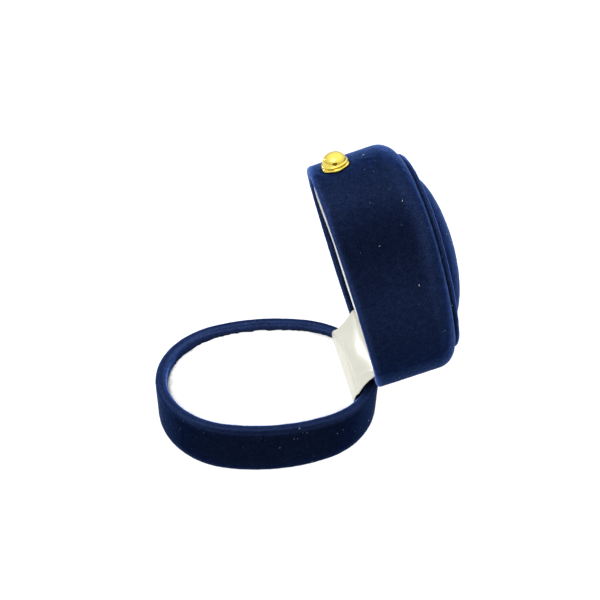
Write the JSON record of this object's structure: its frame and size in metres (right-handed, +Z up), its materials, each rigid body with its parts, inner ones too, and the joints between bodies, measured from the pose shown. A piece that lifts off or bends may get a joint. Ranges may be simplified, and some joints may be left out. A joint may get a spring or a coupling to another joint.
{
  "type": "ring box",
  "caption": "Oval flocked ring box with a stepped, domed lid on a sprung rear hinge, a padded ring slot, a satin hinge strip and a gilt front button.",
  "frame": {"origin": "centre of the base's oval plan, on its flat underside", "axes": "+Z up, -Y towards the front with the button, +Y towards the hinge, X along the hinge pin"},
  "size_m": [0.048, 0.0783, 0.0763],
  "materials": {
    "navy_flock": "moulded shell, flocked all over in navy velvet",
    "greyboard": "plain pressed card",
    "foam": "soft open-cell foam",
    "white_velour": "short white velour",
    "ivory_satin": "glossy ivory satin",
    "plated_steel": "nickel plated",
    "spring_steel": "tempered strip",
    "gilt_brass": "polished gilt"
  },
  "bodies": {
    "base": {"base_shell": "navy_flock", "insert_card": "greyboard", "ring_foam_front": "foam", "ring_foam_rear": "foam", "insert_cover": "white_velour", "hinge_base_leaf": "plated_steel", "hinge_pin": "plated_steel", "snap_spring": "spring_steel", "hinge_cover": "ivory_satin"},
    "lid": {"lid_shell": "navy_flock", "lid_card": "greyboard", "lid_wadding": "foam", "lid_lining": "ivory_satin", "hinge_lid_leaf": "plated_steel", "button_collar": "gilt_brass", "button_dome": "gilt_brass", "button_washer": "gilt_brass"}
  },
  "joints": [
    {"name": "lid_hinge", "type": "hinge", "parent": "base", "child": "lid", "pos_m": [0, 0.0275, 0.0163], "axis": [-1, 0, 0], "range_deg": [-72, 6], "deforming": ["hinge_cover"]}
  ]
}
